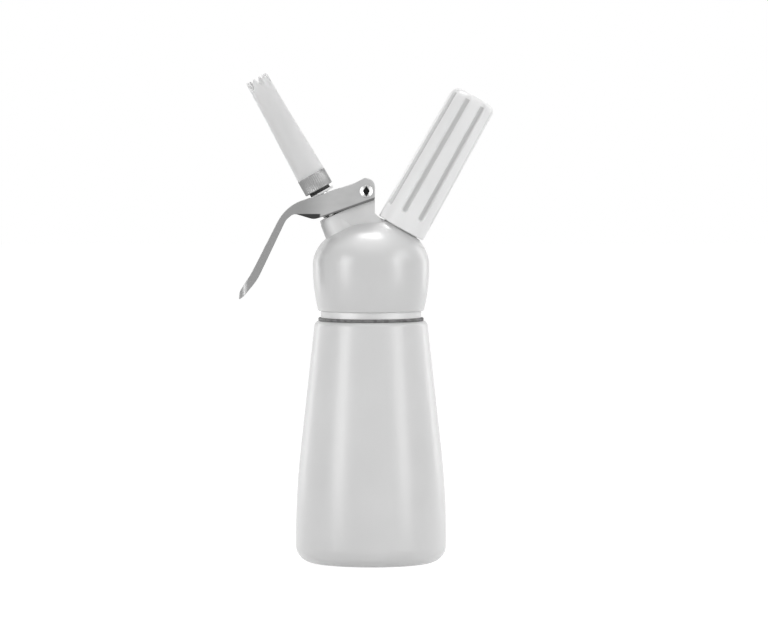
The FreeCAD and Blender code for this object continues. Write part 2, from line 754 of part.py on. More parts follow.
def piercing_needle():
    low = PLUG_S - 1.0
    tip = CHARGER_S + NEEDLE_REACH
    return on_gas(turned([
        (NEEDLE_BORE, low),
        (NEEDLE_RADIUS, low),
        (NEEDLE_RADIUS, tip - 1.2),
        (NEEDLE_BORE + 0.05, tip),
        (NEEDLE_BORE, tip),
    ]))


def charger_seal():
    return on_gas(ring(NEEDLE_RADIUS + CLEAR, BOSS_BORE - 2 * FIT, PLUG_TOP_S, PLUG_TOP_S + SEAL_HEIGHT))


def check_valve_disc():
    return on_gas(rod(CHECK_DISC_RADIUS, CHECK_SEAT_S - CHECK_DISC_HEIGHT, CHECK_SEAT_S))


def check_valve_cap():
    top = CHECK_SEAT_S - CHECK_DISC_HEIGHT
    body = rod(CHECK_POCKET_RADIUS - FIT, top - CHECK_CAP_HEIGHT, top)
    for number in range(4):
        angle = math.radians(45 + 90 * number)
        port = rod(0.7, top - CHECK_CAP_HEIGHT - 1, top + 1)
        port.translate(FreeCAD.Vector(3.6 * math.cos(angle), 3.6 * math.sin(angle), 0))
        body = body.cut(port)
    return on_gas(body)


def charger_half(inset):
    """Corners of the bulb's side from its shoulder to its round end, moved in by a wall."""
    neck_end = CHARGER_S + CHARGER_NECK_LENGTH
    radius = CHARGER_RADIUS - inset
    end = CHARGER_END_S - inset
    return [
        (CHARGER_NECK_RADIUS - inset, neck_end, 1.5),
        (radius, neck_end + CHARGER_SHOULDER + inset / 2, 6.0),
        (radius, end, radius - 1.5),
    ]


def gas_charger():
    tip_inner = CHARGER_S + 0.8
    outside = [(CHARGER_HOLE, CHARGER_S), (CHARGER_NECK_RADIUS, CHARGER_S, 0.6), *charger_half(0)]
    inside = [(0, CHARGER_END_S - CHARGER_WALL), *reversed(charger_half(CHARGER_WALL))]
    throat = [(CHARGER_NECK_RADIUS - CHARGER_WALL, tip_inner), (CHARGER_HOLE, tip_inner)]
    return on_gas(turned([*outside, (0, CHARGER_END_S), *inside, *throat]))


def charger_holder():
    body = turned([
        (INSERT_RADIUS + FIT, HOLDER_RIM_S),
        (HOLDER_RIM_RADIUS, HOLDER_RIM_S, 0.6),
        (HOLDER_TOP_RADIUS, HOLDER_TOP_S, HOLDER_CORNER),
        (0, HOLDER_TOP_S),
        (0, HOLDER_CEILING_S),
        (HOLDER_BORE, HOLDER_CEILING_S),
        (HOLDER_BORE, INSERT_TOP_S),
        (INSERT_RADIUS + FIT, INSERT_TOP_S),
    ])
    height = HOLDER_TOP_S - HOLDER_RIM_S
    slope = math.degrees(math.atan((HOLDER_RIM_RADIUS - HOLDER_TOP_RADIUS) / height))
    start = HOLDER_RIM_S + FLUTE_START + FLUTE_RADIUS
    reach = HOLDER_RIM_RADIUS - (start - HOLDER_RIM_S) * math.tan(math.radians(slope)) + FLUTE_RISE
    cutter = Part.makeCylinder(FLUTE_RADIUS, height).fuse(Part.makeSphere(FLUTE_RADIUS))
    cutter.rotate(ORIGIN, FreeCAD.Vector(1, 0, 0), -slope)
    cutter.translate(FreeCAD.Vector(0, -reach, start))
    for number in range(FLUTES):
        cut = cutter.copy()
        cut.rotate(ORIGIN, UP, FLUTE_PHASE + 360 / FLUTES * number)
        body = body.cut(cut)
    return on_gas(body)


def holder_insert():
    return on_gas(ring(BOSS_RADIUS + INSERT_CLEARANCE, INSERT_RADIUS, INSERT_S, INSERT_TOP_S - FIT))


def holder_pad():
    return on_gas(rod(HOLDER_BORE - FIT, CHARGER_END_S + CLEAR, HOLDER_CEILING_S))


PIECES = [
    bottle, shoulder_ring, head_gasket, head_core, head_cover, valve_housing, housing_nut, housing_oring,
    valve_stem, stem_orings, stem_flange, poppet_seal, poppet_nut, valve_spring,
    nozzle_seat_washer, nozzle_gasket, nozzle_collar, nozzle_tip, lever, lever_pin,
    piercer_plug, piercing_needle, charger_seal, check_valve_disc, check_valve_cap,
    gas_charger, charger_holder, holder_insert, holder_pad,
]

os.makedirs("parts", exist_ok=True)
for make in PIECES:
    shape = make()
    if not shape.isValid():
        print("not valid:", make.__name__)
    print("%-20s solids %d  volume %.1f" % (make.__name__, len(shape.Solids), shape.Volume))
    shape.exportStep("parts/" + make.__name__ + ".step")
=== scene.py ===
import json
import math

import bmesh
import bpy
import numpy as np
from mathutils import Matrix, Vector

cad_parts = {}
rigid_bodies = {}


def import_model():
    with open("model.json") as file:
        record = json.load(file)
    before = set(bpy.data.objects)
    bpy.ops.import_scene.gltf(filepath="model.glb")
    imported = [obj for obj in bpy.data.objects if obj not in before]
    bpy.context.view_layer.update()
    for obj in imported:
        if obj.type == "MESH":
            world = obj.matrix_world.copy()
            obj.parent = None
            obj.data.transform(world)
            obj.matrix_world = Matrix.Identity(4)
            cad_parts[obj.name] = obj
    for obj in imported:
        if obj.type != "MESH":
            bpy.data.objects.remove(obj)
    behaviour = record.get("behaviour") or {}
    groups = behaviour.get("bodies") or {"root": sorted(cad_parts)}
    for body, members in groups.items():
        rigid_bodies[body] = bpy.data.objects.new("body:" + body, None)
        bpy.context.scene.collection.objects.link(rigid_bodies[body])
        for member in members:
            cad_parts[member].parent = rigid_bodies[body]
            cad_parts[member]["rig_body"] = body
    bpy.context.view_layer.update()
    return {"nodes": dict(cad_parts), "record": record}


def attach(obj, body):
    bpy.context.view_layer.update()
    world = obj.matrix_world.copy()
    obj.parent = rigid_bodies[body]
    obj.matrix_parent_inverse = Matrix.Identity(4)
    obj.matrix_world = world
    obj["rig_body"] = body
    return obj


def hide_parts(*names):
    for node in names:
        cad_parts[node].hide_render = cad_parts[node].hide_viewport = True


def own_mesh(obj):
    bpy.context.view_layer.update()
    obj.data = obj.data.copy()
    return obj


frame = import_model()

# Whipped cream dispenser: finishes for every piece of the CAD frame, finer surfaces for those that
# show, and the room that it is seen in. Shapes are worked out in mm. Shaders, lamps and the camera
# are in metres unless a comment says mm.

MM = 0.001
# Axes: turn about Y in degrees from the bottle's axis, and the height in mm where it is crossed
VALVE = (-29.5, 160.5)
UPRIGHT = (0.0, 0.0)
GAS = (29.5, 160.5)
PIVOT = (-2.6, 211.8)         # x and z in mm of the lever's pin

# Sizes in mm that more than one piece is made from
NECK_RADIUS = 24.9
NECK_TOP = 152.0
SHOULDER_Z = 138.0
CROWN_RADIUS, CROWN_Z = 38.36, 156.24     # sphere that caps the dome
BOSS_RADIUS = 10.6
STEM_BORE = 4.05                          # of what sits on the valve stem
SPRING_FLOOR, FLANGE_LOW = 41.0, 51.4     # along the valve axis
SEAT_LOW, GASKET_LOW, COLLAR_LOW = 57.0, 58.3, 60.0
COLLAR_FLOOR, COLLAR_TOP = 64.0, 69.3
HOLDER_RIM, HOLDER_TOP = 34.7, 120.55     # along the gas axis
HOLDER_FOOT, HOLDER_CROWN = 14.5, 13.4    # radii at those two
INSERT_TOP = 52.7

SLOT_OF = {part["node"]: part["material_slot"] for part in frame["record"]["subparts"]}

# Camera: where the photograph was taken from, in metres and degrees
AIM = (0.0074, 0.0, 0.1371)
VIEW_WIDTH = 0.4378           # covered by the picture at the bottle's axis
VIEW_DISTANCE = 2.6
VIEW_RISE = 2.7


class Value:
    """A shader socket that takes +, -, *, ** and abs like a number."""

    def __init__(self, paint, socket):
        self.paint, self.socket = paint, socket

    def math(self, operation, other, swap=False):
        pair = (other, self) if swap else (self, other)
        return self.paint.node("ShaderNodeMath", {"operation": operation}, {0: pair[0], 1: pair[1]})

    def __add__(self, other):
        return self.math("ADD", other)

    def __sub__(self, other):
        return self.math("SUBTRACT", other)

    def __rsub__(self, other):
        return self.math("SUBTRACT", other, swap=True)

    def __mul__(self, other):
        return self.math("MULTIPLY", other)

    def __pow__(self, other):
        return self.math("POWER", other)

    def __abs__(self):
        return self.math("ABSOLUTE", 0.0)

    __radd__ = __add__
    __rmul__ = __mul__


class Paint:
    """The nodes of a new material, or of the world."""

    def __init__(self, name, world=False):
        self.owner = bpy.data.worlds.new(name) if world else bpy.data.materials.new(name)
        self.owner.use_nodes = True
        self.tree = self.owner.node_tree
        self.tree.nodes.clear()

    def node(self, kind, settings=None, sockets=None, output=0):
        """Add a node: its settings are set first, then each socket gets a value or a link. An output
        node has nothing to pass on, so it gives None."""
        made = self.tree.nodes.new(kind)
        for key, value in (settings or {}).items():
            setattr(made, key, value)
        for key, value in (sockets or {}).items():
            if isinstance(value, Value):
                self.tree.links.new(value.socket, made.inputs[key])
            else:
                made.inputs[key].default_value = value
        return Value(self, made.outputs[output]) if made.outputs else None

    def place(self):
        return self.node("ShaderNodeTexCoord", output="Object")

    def noise(self, scale, detail, stretch=(1, 1, 1)):
        """Noise over the piece, in blobs per metre, squeezed along each axis by the stretch."""
        spot = self.node("ShaderNodeMapping", None, {"Vector": self.place(), "Scale": stretch})
        return self.node("ShaderNodeTexNoise", None, {"Vector": spot, "Scale": scale, "Detail": detail})

    def along(self, axis):
        return self.node("ShaderNodeSeparateXYZ", None, {"Vector": self.place()}, output=axis)

    def mix(self, factor, first, second):
        settings = {"data_type": "RGBA"}
        return self.node("ShaderNodeMix", settings, {0: factor, 6: first, 7: second}, output=2)

    def range(self, value, low, high, to_low=0.0, to_high=1.0):
        settings = {"interpolation_type": "SMOOTHSTEP"}
        sockets = {0: value, 1: low, 2: high, 3: to_low, 4: to_high}
        return self.node("ShaderNodeMapRange", settings, sockets)

    def bump(self, height, distance, strength):
        sockets = {"Height": height, "Distance": distance, "Strength": strength}
        return self.node("ShaderNodeBump", None, sockets)

    def seen(self):
        """1 for rays that come from the camera or off gloss or through clear plastic, else 0."""
        total = 0.0
        for ray in ("Is Camera Ray", "Is Glossy Ray", "Is Transmission Ray"):
            total = self.node("ShaderNodeLightPath", output=ray).math("MAXIMUM", total)
        return total

    def close(self, shader, kind="ShaderNodeOutputMaterial"):
        """Lead the finished shader to the output."""
        self.node(kind, None, {"Surface": shader})
        return self.owner

    def finish(self, sockets):
        """Close a material with the main shader."""
        return self.close(self.node("ShaderNodeBsdfPrincipled", None, sockets))


def grey(level):
    """Linear colour of a grey written as a screen value from 0 to 255."""
    linear = (level / 255.0) ** 2.2
    return (linear, linear, linear, 1)


def white_enamel(name, level, gloss):
    """Sprayed enamel: even tone with the faintest clouding, fine orange peel, clear coat."""
    paint = Paint(name)
    cloud = paint.noise(22, 2.0)
    peel = paint.noise(900, 2.0)
    tone = paint.mix(paint.range(cloud, 0.35, 0.65), grey(level - 2), grey(level + 2))
    return paint.finish({
        "Base Color": tone,
        "Roughness": paint.range(cloud, 0.3, 0.7, gloss - 0.02, gloss + 0.03),
        "Coat Weight": 0.6,
        "Coat Roughness": 0.26,
        "IOR": 1.5,
        "Normal": paint.bump(peel, 0.00002, 0.35),
    })


def moulded_white(name, level, gloss, flute_shade=0):
    """Moulded plastic: slight flow marks along the piece and a fine grain. Given a number of grey levels,
    painted shade darkens the floors of the charger holder's flutes by that many."""
    paint = Paint(name)
    flow = paint.noise(40, 3.0, (1, 1, 0.3))
    grain = paint.noise(1600, 2.0)
    tone = paint.mix(paint.range(flow, 0.35, 0.65), grey(level - 3), grey(level + 2))
    if flute_shade:
        lean, crossing = math.radians(GAS[0]), GAS[1] * MM
        x, y, z = paint.along("X"), paint.along("Y"), paint.along("Z")
        across = x * math.cos(lean) - (z - crossing) * math.sin(lean)
        up = x * math.sin(lean) + (z - crossing) * math.cos(lean)
        radius = (across * across + y * y) ** 0.5
        narrowing = (HOLDER_FOOT - HOLDER_CROWN) / (HOLDER_TOP - HOLDER_RIM)
        skin = HOLDER_FOOT * MM - (up - HOLDER_RIM * MM) * narrowing
        sunk = paint.range(skin - radius, 0.0005, 0.0015)
        begun = paint.range(up, 0.0415, 0.0425)
        ended = paint.range(up, 0.1176, 0.1168)
        # painted shade: the flutes' floors are darkened as the shade that falls in the grooves
        tone = paint.mix(sunk * begun * ended, tone, grey(level - flute_shade))
    return paint.finish({
        "Base Color": tone,
        "Roughness": paint.range(flow, 0.3, 0.7, gloss - 0.03, gloss + 0.04),
        "IOR": 1.46,
        "Normal": paint.bump(grain, 0.00002, 0.4),
    })


def milky_plastic(name, level):
    """Milky see-through moulding: part of the light goes through, with soft cloudiness inside."""
    paint = Paint(name)
    cloud = paint.noise(70, 3.0, (1, 1, 0.5))
    tone = paint.mix(paint.range(cloud, 0.3, 0.7), grey(level - 5), grey(level))
    return paint.finish({
        "Base Color": tone,
        "Roughness": paint.range(cloud, 0.3, 0.7, 0.30, 0.42),
        "Transmission Weight": 0.25,
        "Subsurface Weight": 0.6,
        "Subsurface Radius": (1.0, 1.0, 1.0),
        "Subsurface Scale": 0.004,
        "IOR": 1.4,
        "Normal": paint.bump(paint.noise(500, 2.0), 0.00003, 0.3),
    })


def blasted_metal(name, level, gloss, metal=0.85):
    """Bead blasted metal: sparkle grain of about a tenth of a millimetre and slight cloudiness."""
    paint = Paint(name)
    cloud = paint.noise(60, 3.0)
    grain = paint.noise(5200, 2.0)
    tone = paint.mix(paint.range(cloud, 0.3, 0.7), grey(level - 5), grey(level + 4))
    return paint.finish({
        "Base Color": tone,
        "Metallic": metal,
        "Roughness": paint.range(cloud, 0.3, 0.7, gloss - 0.03, gloss + 0.04),
        "Normal": paint.bump(grain, 0.00003, 0.5),
    })


def lever_metal(name):
    """Satin steel, brushed along its length and darker towards the handle. Painted shade: the lobe's foot and
    the rolled lower edge of the cheeks are painted darkest, where shade falls under the lever. Places are in
    mm."""
    paint = Paint(name)
    streak = paint.noise(900, 3.0, (0.05, 1, 0.12))
    x, z = paint.along("X") * 1000, paint.along("Z") * 1000
    tone = paint.mix(paint.range(x, -40, -22), grey(150), grey(186))
    tone = paint.mix(paint.range(streak, 0.3, 0.7, 0.0, 0.3), tone, grey(140))
    # painted shade: these masks mark the shadowed foot of the lobe and the shadowed lower edge of the cheeks
    into_foot_shade = 199.2 - z
    into_edge_shade = 207.8 + (x + 0.4) * 0.355 - z
    foot = paint.range(into_foot_shade, 0, 0.5) * paint.range(x, -28.2, -29.4) * paint.range(x, -43.5, -41)
    edge = paint.range(into_edge_shade, 0, 0.6) * paint.range(x, -30, -27)
    # painted shade, darkest under the lobe and lighter along the cheeks' lower edge
    tone = paint.mix(foot, tone, grey(62))
    tone = paint.mix(edge, tone, grey(110))
    return paint.finish({
        "Base Color": tone,
        "Metallic": 0.9,
        "Roughness": paint.range(streak, 0.25, 0.75, 0.36, 0.46),
        "Normal": paint.bump(streak, 0.00002, 0.4),
    })


def pin_metal(name):
    """Turned steel with painted shade and a painted highlight: its blind middle, a lozenge about 4.5 by 6 mm,
    is painted dark as the shade in its hollow end, and the sides of each end are painted lighter as a
    highlight. Places are in mm."""
    paint = Paint(name)
    cloud = paint.noise(300, 2.0)
    wide = abs(paint.along("X") * 1000 - PIVOT[0])
    tall = abs(paint.along("Z") * 1000 - PIVOT[1])
    # painted shade: dark in the hollow middle of each end
    end_shade = paint.range(wide * (1 / 2.3) + tall * (1 / 3.2), 1.12, 0.8)
    # painted highlight: lighter towards the left and right sides of each end
    bright = paint.range(wide - tall * 0.7, -0.6, 1.0)
    return paint.finish({
        "Base Color": paint.mix(end_shade, paint.mix(bright, grey(186), grey(240)), grey(40)),
        "Metallic": 0.9,
        "Roughness": paint.range(cloud, 0.3, 0.7, 0.25, 0.35),
    })


def turned_metal(name, colour, gloss):
    """Machined metal: very fine tool lines and slight tone changes."""
    paint = Paint(name)
    cloud = paint.noise(80, 2.0)
    lines = paint.noise(1500, 2.0, (0.2, 0.2, 2.0))
    darker = tuple(channel * 0.85 for channel in colour[:3]) + (1,)
    return paint.finish({
        "Base Color": paint.mix(paint.range(cloud, 0.3, 0.7), darker, colour),
        "Metallic": 1.0,
        "Roughness": paint.range(lines, 0.3, 0.7, gloss, gloss + 0.1),
        "Normal": paint.bump(lines, 0.00001, 0.4),
    })


def rubber(name, level):
    """Moulded rubber: matt, with a dusting of paler bloom. Below 141 mm, which is the ring on the bottle's
    shoulder, it is paler."""
    paint = Paint(name)
    bloom = paint.noise(300, 4.0)
    paler_low = paint.range(paint.along("Z"), 0.142, 0.141)
    base = paint.mix(paler_low, grey(level), grey(min(level + 75, 190)))
    tone = paint.mix(paint.range(bloom, 0.45, 0.75), base, grey(level + 40))
    return paint.finish({
        "Base Color": tone,
        "Roughness": paint.range(bloom, 0.3, 0.7, 0.55, 0.7),
        "Normal": paint.bump(paint.noise(2400, 2.0), 0.00003, 0.5),
    })


FINISH = {
    "bottle_white": white_enamel("bottle_white", 218, 0.39),
    "head_white": white_enamel("head_white", 211, 0.32),
    # the holder's flutes get painted shade 42 grey levels deep
    "holder_white": moulded_white("holder_white", 242, 0.32, flute_shade=42),
    "white_plastic": moulded_white("white_plastic", 240, 0.35),
    "tip_plastic": milky_plastic("tip_plastic", 250),
    "head_metal": blasted_metal("head_metal", 216, 0.55, 0.5),
    "satin_metal": blasted_metal("satin_metal", 204, 0.58, 0.45),
    "lever_metal": lever_metal("lever_metal"),
    "steel": turned_metal("steel", grey(205), 0.22),
    "spring_steel": turned_metal("spring_steel", grey(190), 0.25),
    "bulb_steel": turned_metal("bulb_steel", grey(188), 0.3),
    "brass": turned_metal("brass", (0.62, 0.44, 0.18, 1), 0.25),
    "dark_rubber": rubber("dark_rubber", 46),
    "pale_rubber": rubber("pale_rubber", 190),
}

# Pieces that differ from the rest of their slot
PIECE_FINISH = {
    "knurled_collar": blasted_metal("collar_metal", 152, 0.42),
    "hollow_rivet": pin_metal("pin_metal"),
}


def leaned(points, axis):
    """Turn points made about Z onto an axis: x' = x cos a + z sin a, z' = z cos a - x sin a + crossing."""
    angle = math.radians(axis[0])
    x, y, z = np.moveaxis(points, -1, 0)
    across = x * math.cos(angle) + z * math.sin(angle)
    up = z * math.cos(angle) - x * math.sin(angle) + axis[1]
    return np.stack([across, y, up], axis=-1)


def curve_through(corners, step):
    """Outline through (radius, height) corners; a third number rounds that corner by an arc,
    whose points are centre + bend * (cos, sin), no more than step degrees apart."""
    pieces = []
    count = len(corners)
    for index, corner in enumerate(corners):
        here = np.array(corner[:2], float)
        if len(corner) == 2:
            pieces.append(here[None])
            continue
        back = np.array(corners[index - 1][:2], float) - here
        ahead = np.array(corners[(index + 1) % count][:2], float) - here
        back /= np.linalg.norm(back)
        ahead /= np.linalg.norm(ahead)
        half, bend = math.acos(np.clip(back @ ahead, -1, 1)) / 2, corner[2]
        centre = here + (back + ahead) / np.linalg.norm(back + ahead) * bend / math.sin(half)
        first = here + back * bend / math.tan(half) - centre
        last = here + ahead * bend / math.tan(half) - centre
        start = math.atan2(first[1], first[0])
        sweep = math.remainder(math.atan2(last[1], last[0]) - start, 2 * math.pi)
        angles = start + sweep * np.linspace(0, 1, 2 + int(abs(math.degrees(sweep)) / step))
        pieces.append(centre + bend * np.stack([np.cos(angles), np.sin(angles)], axis=-1))
    return np.concatenate(pieces)


def full_turn(count):
    return np.linspace(0, 2 * math.pi, count, endpoint=False)


def spun(radius, height, angle):
    """Points turned about Z, a row for each height: (r cos a, r sin a, height)."""
    radius, height, angle = np.broadcast_arrays(radius, height, angle)
    return np.stack([radius * np.cos(angle), radius * np.sin(angle), height], axis=-1)


def surface(name, points, slot, body, replaced=(), closed=True, crease=32):
    """Mesh of a grid of points in mm: four corners of each cell make a face. Each row is a ring, and
    the last row joins the first if closed. Poles and seams are merged, faces are turned outwards and
    edges sharper than the crease stay sharp."""
    rows, columns = points.shape[:2]
    down = np.arange(rows if closed else rows - 1)
    over = np.arange(columns)
    i, j = [grid.ravel() for grid in np.meshgrid(down, over, indexing="ij")]
    i2, j2 = (i + 1) % rows, (j + 1) % columns
    quads = np.stack([i * columns + j, i * columns + j2, i2 * columns + j2, i2 * columns + j], axis=-1)
    mesh = bpy.data.meshes.new(name)
    mesh.from_pydata((points.reshape(-1, 3) * MM).tolist(), [], quads.tolist())
    tidy = bmesh.new()
    tidy.from_mesh(mesh)
    bmesh.ops.remove_doubles(tidy, verts=tidy.verts, dist=1e-7)
    bmesh.ops.recalc_face_normals(tidy, faces=tidy.faces)
    tidy.to_mesh(mesh)
    tidy.free()
    return placed(name, mesh, slot, body, replaced, crease)


def placed(name, mesh, slot, body, replaced, crease):
    """Link a finished mesh, give it its finish, say what it rides on and hide the CAD pieces that it stands
    for.
    """
    mesh.polygons.foreach_set("use_smooth", [True] * len(mesh.polygons))
    mesh.set_sharp_from_angle(angle=math.radians(crease))
    piece = bpy.data.objects.new(name, mesh)
    bpy.context.scene.collection.objects.link(piece)
    mesh.materials.clear()
    mesh.materials.append(PIECE_FINISH.get(name, FINISH[slot]))
    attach(piece, body)
    if replaced:
        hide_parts(*replaced)
    return piece


def turned(name, corners, axis, node, segments, step):
    """Surface of revolution of an outline: (r cos a, r sin a, height) for a round the axis."""
    outline = curve_through(corners, step)
    grid = spun(outline[:, :1], outline[:, 1:], full_turn(segments))
    body = frame["nodes"][node]["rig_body"]
    return surface(name, leaned(grid, axis), SLOT_OF[node], body, [node])


def dressed(name, node, edge, reshape=None):
    """The CAD piece with its triangles joined into flat faces, its places in mm passed through a
    reshaping rule, and its edges softened."""
    crease = 30
    mesh = frame["nodes"][node].data.copy()
    tidy = bmesh.new()
    tidy.from_mesh(mesh)
    bmesh.ops.remove_doubles(tidy, verts=tidy.verts, dist=1e-6)
    bmesh.ops.dissolve_limit(tidy, angle_limit=math.radians(0.4), verts=tidy.verts, edges=tidy.edges)
    tidy.to_mesh(mesh)
    tidy.free()
    if reshape:
        spots = np.empty(len(mesh.vertices) * 3)
        mesh.vertices.foreach_get("co", spots)
        moved = reshape(spots.reshape(-1, 3) / MM) * MM
        mesh.vertices.foreach_set("co", moved.ravel())
        mesh.update()
    piece = placed(name, mesh, SLOT_OF[node], frame["nodes"][node]["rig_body"], [node], crease)
    if edge:
        soft = piece.modifiers.new("soft_edges", "BEVEL")
        soft.width = edge * MM
        soft.segments = 3
        soft.limit_method = "ANGLE"
        soft.angle_limit = math.radians(crease)
        even = piece.modifiers.new("even_shading", "WEIGHTED_NORMAL")
        even.keep_sharp = True
    return piece


def ramp(value, low, high):
    """Smooth step from 0 at low to 1 at high."""
    part = np.clip((value - low) / (high - low), 0, 1)
    return part * part * (3 - 2 * part)


def fuller_block(spots):
    """Widen the block's cone end from 8.1 + 0.19 d to 9.2 + 0.148 d, where d is the depth below its
    top, draw its foot out to the right, and raise its sloping top between the cheeks."""
    x, y, z = spots.T
    tilt, slope = math.radians(-VALVE[0]), math.radians(23.4)
    cone_top, cone_low, raised = 42.0, 28.5, 1.4
    toe_x, toe_z = 6.4, 194.9
    s = (z - VALVE[1]) * math.cos(tilt) - x * math.sin(tilt)
    across = x * math.cos(tilt) + (z - VALVE[1]) * math.sin(tilt)
    wall = 8.1 + 0.19 * (cone_top - s)
    fuller = 9.2 + 0.148 * (cone_top - s)
    on_cone = (np.abs(np.hypot(across, y) - wall) < 0.25) & (across < 0.5) & (s > cone_low)
    across = np.where(on_cone, across * fuller / wall, across)
    moved_x = across * math.cos(tilt) - s * math.sin(tilt)
    moved_z = VALVE[1] + s * math.cos(tilt) + across * math.sin(tilt)
    top = 197.06 + (x + 20.68) * math.tan(slope)
    on_top = (np.abs(z - top) < 0.35) & (x < -4)
    moved_z += np.where(on_top, raised, 0)
    toe = (x > 4.5) & (z > 192)
    return np.stack([np.where(toe, toe_x, moved_x), y, np.where(toe, toe_z, moved_z)], axis=-1)


def deeper_cheeks(spots):
    """Pull the lower edge of both cheeks down by drop * ramp(x) between the lobe and the pivot."""
    x, y, z = spots.T
    drop, cheek_gap = 1.2, 8.4
    edge = np.interp(x, [-32.2, -17.6, 2.2, 3.0], [195.7, 201.4, 208.1, 208.4])
    low = (z - edge < 1.9) & (np.abs(y) > cheek_gap)
    return np.stack([x, y, z - np.where(low, drop * ramp(x, -31, -20), 0)], axis=-1)


def bottle_body():
    """The can: rolled base, long soft bend, straight taper, rounded shoulder and open neck. The bend's
    radius is its reach over tan(lean / 2)."""
    foot, foot_round, shoulder, shoulder_round = 43.0, 10.0, 32.0, 3.0
    bend_z, bend_reach, wall, lip = 38.5, 26.5, 1.5, 0.4
    lean = math.atan((foot - shoulder) / (SHOULDER_Z - bend_z))
    bend = bend_reach / math.tan(lean / 2)
    slip = wall * (math.tan(lean) - 1 / math.cos(lean))
    drop = wall * math.tan(lean / 2)
    mouth, ceiling = NECK_RADIUS - 2.3, SHOULDER_Z - wall
    groove = [(25.4, 0), (26, 0.15), (27, 0.7), (28, 0.15), (28.6, 0)]
    turned("bottle_body", [
        (0, 0), *groove,
        (foot, 0, foot_round), (foot, bend_z, bend), (shoulder, SHOULDER_Z, shoulder_round),
        (NECK_RADIUS, SHOULDER_Z), (NECK_RADIUS, NECK_TOP - lip, lip), (NECK_RADIUS - 0.5, NECK_TOP),
        (mouth, NECK_TOP), (mouth, ceiling), (shoulder + slip, ceiling, shoulder_round - wall),
        (foot - wall, bend_z - drop, bend - wall), (foot - wall, wall, foot_round - wall), (0, wall),
    ], UPRIGHT, "bottle", 192, 0.5)


def screw_thread(name, radius, height, pitch, turns, low, axis, node):
    """Ridge wound round an axis, low + pitch * a / (2 pi) high at the angle a. Its section is a hump,
    radius + height * sin(v) ** 0.7 for v across it, that fades in and out at both ends."""
    around = np.linspace(0, 2 * math.pi * turns, int(turns * 72))
    fade = np.clip(np.minimum(around, around[-1] - around) / 0.6, 0.02, 1)
    over = np.linspace(0, math.pi, 9)
    reach = radius - 0.1 + (height + 0.1) * np.sin(over) ** 0.7 * fade[:, None]
    level = low + pitch * around[:, None] / (2 * math.pi) - 0.32 * pitch * np.cos(over) * fade[:, None]
    body = frame["nodes"][node]["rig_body"]
    grid = leaned(spun(reach, level, around[:, None]), axis)
    return surface(name, grid, SLOT_OF[node], body, closed=False, crease=60)


def dome_cover():
    """White dome: long lower arc, flank arc and crown arc that share their tangents, each of them
    centre + r * (cos a, sin a), and a hollow inside, whose arcs are moved in by the wall."""
    flank, full, side = 19.0, 33.2, 112.0
    widest, rise = 169.4, 25.2
    wall, lip, lip_z, seat_z, bottom = 2.2, 1.2, 144.7, 150.0, 143.5
    crown = ((full - flank) ** 2 + rise ** 2 - flank ** 2) / (2 * (rise - flank))
    crown_z = widest + rise - crown
    meet = math.atan2(widest - crown_z, full - flank)

    def half(inset, low):
        """Outline from a low level to the axis, moved in by the inset."""
        start = -math.asin((widest - low) / (side - inset))
        runs = [
            (full - side, widest, side - inset, np.linspace(start, 0, 24)),
            (full - flank, widest, flank - inset, np.linspace(0, meet, 16)[1:]),
            (0.0, crown_z, crown - inset, np.linspace(meet, math.pi / 2, 22)[1:]),
        ]
        return np.concatenate([
            np.stack([x + r * np.cos(a), z + r * np.sin(a)], axis=-1) for x, z, r, a in runs])

    outer = half(0.0, lip_z)
    edge = outer[0, 0]
    lip_angle = np.linspace(-math.pi / 2, -0.15, 7)
    rolled = np.stack([edge - lip + lip * np.cos(lip_angle), lip_z + lip * np.sin(lip_angle)], axis=-1)
    inner = half(wall, seat_z)[::-1]
    bore = np.array([[28.55, seat_z], [28.55, bottom]])
    outline = np.concatenate([rolled, outer, inner, bore])
    grid = spun(outline[:, :1], outline[:, 1:], full_turn(160))
    return surface("dome_cover", grid, SLOT_OF["head_cover"], "head", ["head_cover"], crease=40)


def holder_seat():
    """Raised seat under the holder: a fillet that leaves the dome's crown sphere without a step.
    Its height is sphere(r) + (top - sphere(inner)) * (1 - t) ** 2.2 for r from inner to outer as t
    runs from 0 to 1, where sphere(r) is the sphere's height along the gas axis at that place."""
    top, bore, bore_low, inner, outer, lip = 33.9, 10.95, 28.0, 13.0, 18.0, 0.25
    tilt = math.radians(GAS[0])
    drop = CROWN_Z - GAS[1]
    aside = -drop * math.sin(tilt)
    along = drop * math.cos(tilt)
    angle = full_turn(144)
    t = np.linspace(0, 1, 18)[:, None]

    def sphere(r):
        away = (r * np.cos(angle) - aside) ** 2 + (r * np.sin(angle)) ** 2
        return along + np.sqrt(CROWN_RADIUS ** 2 - away)

    radius = inner + (outer - inner) * t
    height = sphere(radius) + (top - lip - sphere(inner)) * (1 - t) ** 2.2 - 0.02 * t
    edge = curve_through([(bore, top), (inner, top, lip), (inner, top - 0.3)], 20)[:-1]
    head = np.concatenate([np.array([(bore, bore_low), (bore, top - 0.1)]), edge])
    last = outer - 0.1
    radius = np.concatenate([head[:, :1] + 0 * angle, radius + 0 * angle, last + 0 * angle[None]])
    height = np.concatenate([head[:, 1:] + 0 * angle, height, sphere(last)[None] - 0.6])
    grid = leaned(spun(radius, height, angle), GAS)
    return surface("holder_seat", grid, SLOT_OF["head_cover"], "head", crease=40)


